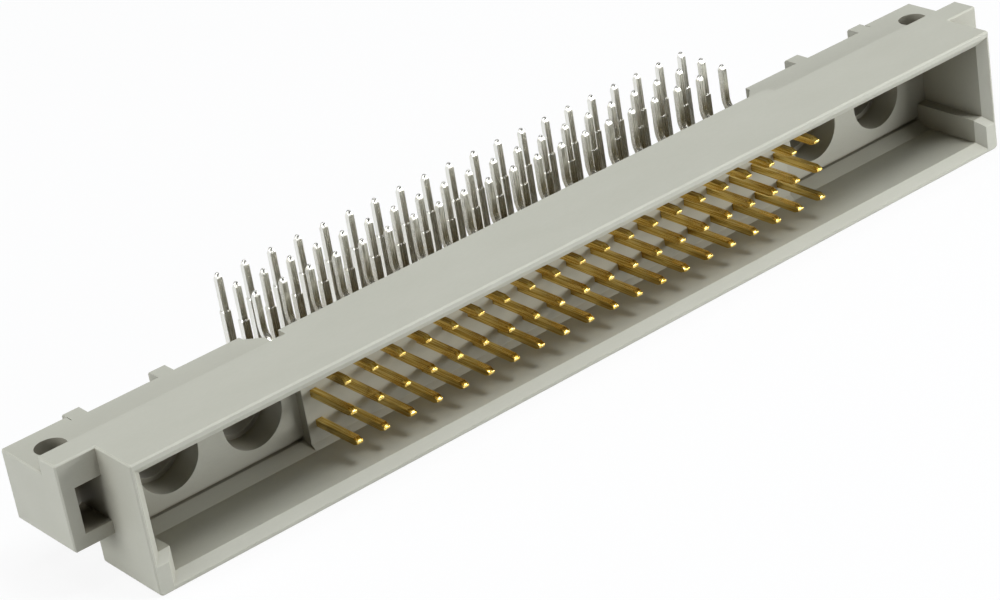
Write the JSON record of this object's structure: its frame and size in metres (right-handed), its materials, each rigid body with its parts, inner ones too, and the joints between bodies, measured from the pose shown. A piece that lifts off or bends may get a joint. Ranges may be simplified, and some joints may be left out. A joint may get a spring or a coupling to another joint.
{
  "type": "backplane connector",
  "caption": "Right-angle male backplane connector: open grey shroud with rows of gold pins, large round cavities at both ends, fixing ears, and bent solder tails pointing up.",
  "frame": {"origin": "middle of the connector's footprint, at the level of the face it lies on", "axes": "+X along the connector, -Y out of the open mating side, +Z towards the board that it is soldered to"},
  "size_m": [0.094, 0.0174, 0.0125],
  "materials": {
    "grey_plastic": "matt glass-filled moulding",
    "plated_contact": "gold plated at the mating pin, bright tin at the solder tail"
  },
  "bodies": {
    "root": {"housing": "grey_plastic", "contacts_01": "plated_contact", "contacts_02": "plated_contact", "contacts_03": "plated_contact", "contacts_04": "plated_contact", "contacts_05": "plated_contact", "contacts_06": "plated_contact", "contacts_07": "plated_contact", "contacts_08": "plated_contact", "contacts_09": "plated_contact", "contacts_10": "plated_contact", "contacts_11": "plated_contact", "contacts_12": "plated_contact", "contacts_13": "plated_contact", "contacts_14": "plated_contact", "contacts_15": "plated_contact", "contacts_16": "plated_contact", "contacts_17": "plated_contact", "contacts_18": "plated_contact", "contacts_19": "plated_contact", "contacts_20": "plated_contact"}
  },
  "joints": []
}
